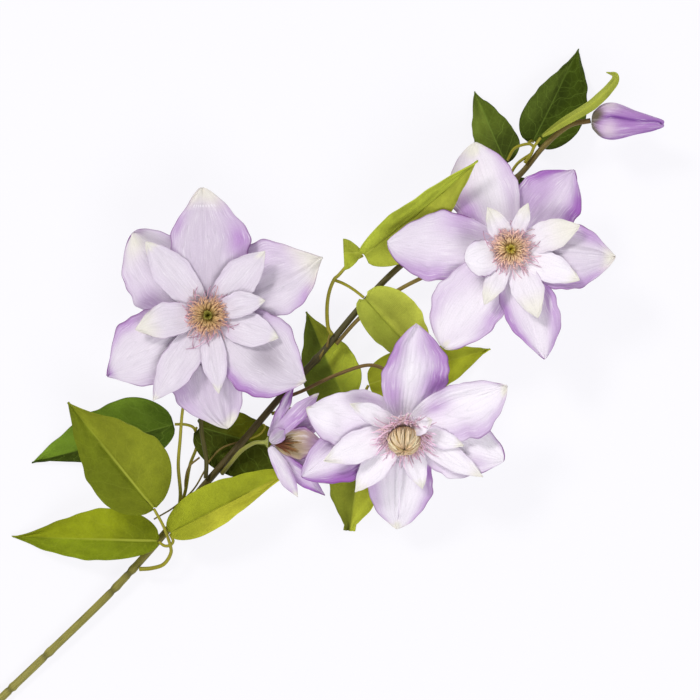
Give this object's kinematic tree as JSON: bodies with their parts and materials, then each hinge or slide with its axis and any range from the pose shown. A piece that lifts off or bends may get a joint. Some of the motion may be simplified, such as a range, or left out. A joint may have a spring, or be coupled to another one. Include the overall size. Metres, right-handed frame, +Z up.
{
  "type": "clematis flower spray",
  "caption": "Cut clematis spray lying flat: open lilac flowers, a half-open flower, a bud and pointed green leaves on a branching stem.",
  "frame": {"origin": "on the surface that the spray lies on, at the middle of the spray's box in plan", "axes": "+Z up from the surface towards the faces of the flowers; the main stem runs from its cut end at -X -Y to the bud at +X +Y"},
  "size_m": [0.3604, 0.3552, 0.0613],
  "materials": {
    "petal": "printed and pressed cloth, lilac with purple edges and a white middle",
    "inner_petal": "printed and pressed cloth, white with a lilac blush",
    "stamen": "moulded, ochre heads on pink filaments with an olive middle",
    "light_leaf": "printed and pressed cloth, yellow-green with pale veins",
    "dark_leaf": "printed and pressed cloth, deep green with pale veins",
    "main_stem": "moulded, olive brown, matt",
    "flower_stalk": "moulded, olive brown, matt",
    "sprig": "moulded, yellow green, matt",
    "bud": "lilac with purple seams"
  },
  "bodies": {
    "root": {"left_petal_1": "petal", "left_petal_2": "petal", "left_petal_3": "petal", "left_petal_4": "petal", "left_petal_5": "petal", "left_petal_6": "petal", "left_inner_petals": "inner_petal", "left_stamens": "stamen", "left_flower_stalk": "flower_stalk", "right_petal_1": "petal", "right_petal_2": "petal", "right_petal_3": "petal", "right_petal_4": "petal", "right_petal_5": "petal", "right_petal_6": "petal", "right_inner_petals": "inner_petal", "right_stamens": "stamen", "right_flower_stalk": "flower_stalk", "middle_petal_1": "petal", "middle_petal_2": "petal", "middle_petal_3": "petal", "middle_petal_4": "petal", "middle_petal_5": "petal", "middle_petal_6": "petal", "middle_inner_petals": "inner_petal", "middle_stamens": "stamen", "middle_flower_stalk": "flower_stalk", "half_open_petal_1": "petal", "half_open_petal_2": "petal", "half_open_petal_3": "petal", "half_open_petal_4": "petal", "half_open_petal_5": "petal", "half_open_petal_6": "petal", "half_open_petal_7": "petal", "half_open_petal_8": "petal", "half_open_stamens": "stamen", "half_open_flower_stalk": "flower_stalk", "bud": "bud", "main_stem": "main_stem", "sprig_lower": "sprig", "sprig_back": "sprig", "sprig_centre": "sprig", "sprig_middle": "sprig", "sprig_top": "sprig", "tendril": "sprig", "leaf_lower_left": "light_leaf", "leaf_lower_top": "light_leaf", "leaf_lower_right": "light_leaf", "leaf_centre_right": "light_leaf", "leaf_centre_down": "light_leaf", "leaf_middle_round": "light_leaf", "leaf_middle_long": "light_leaf", "leaf_middle_small": "light_leaf", "leaf_top_curled": "light_leaf", "leaf_back_left": "dark_leaf", "leaf_back_right": "dark_leaf", "leaf_centre_left": "dark_leaf", "leaf_top_left": "dark_leaf", "leaf_top_large": "dark_leaf", "leaf_top_hidden": "dark_leaf"}
  },
  "joints": []
}
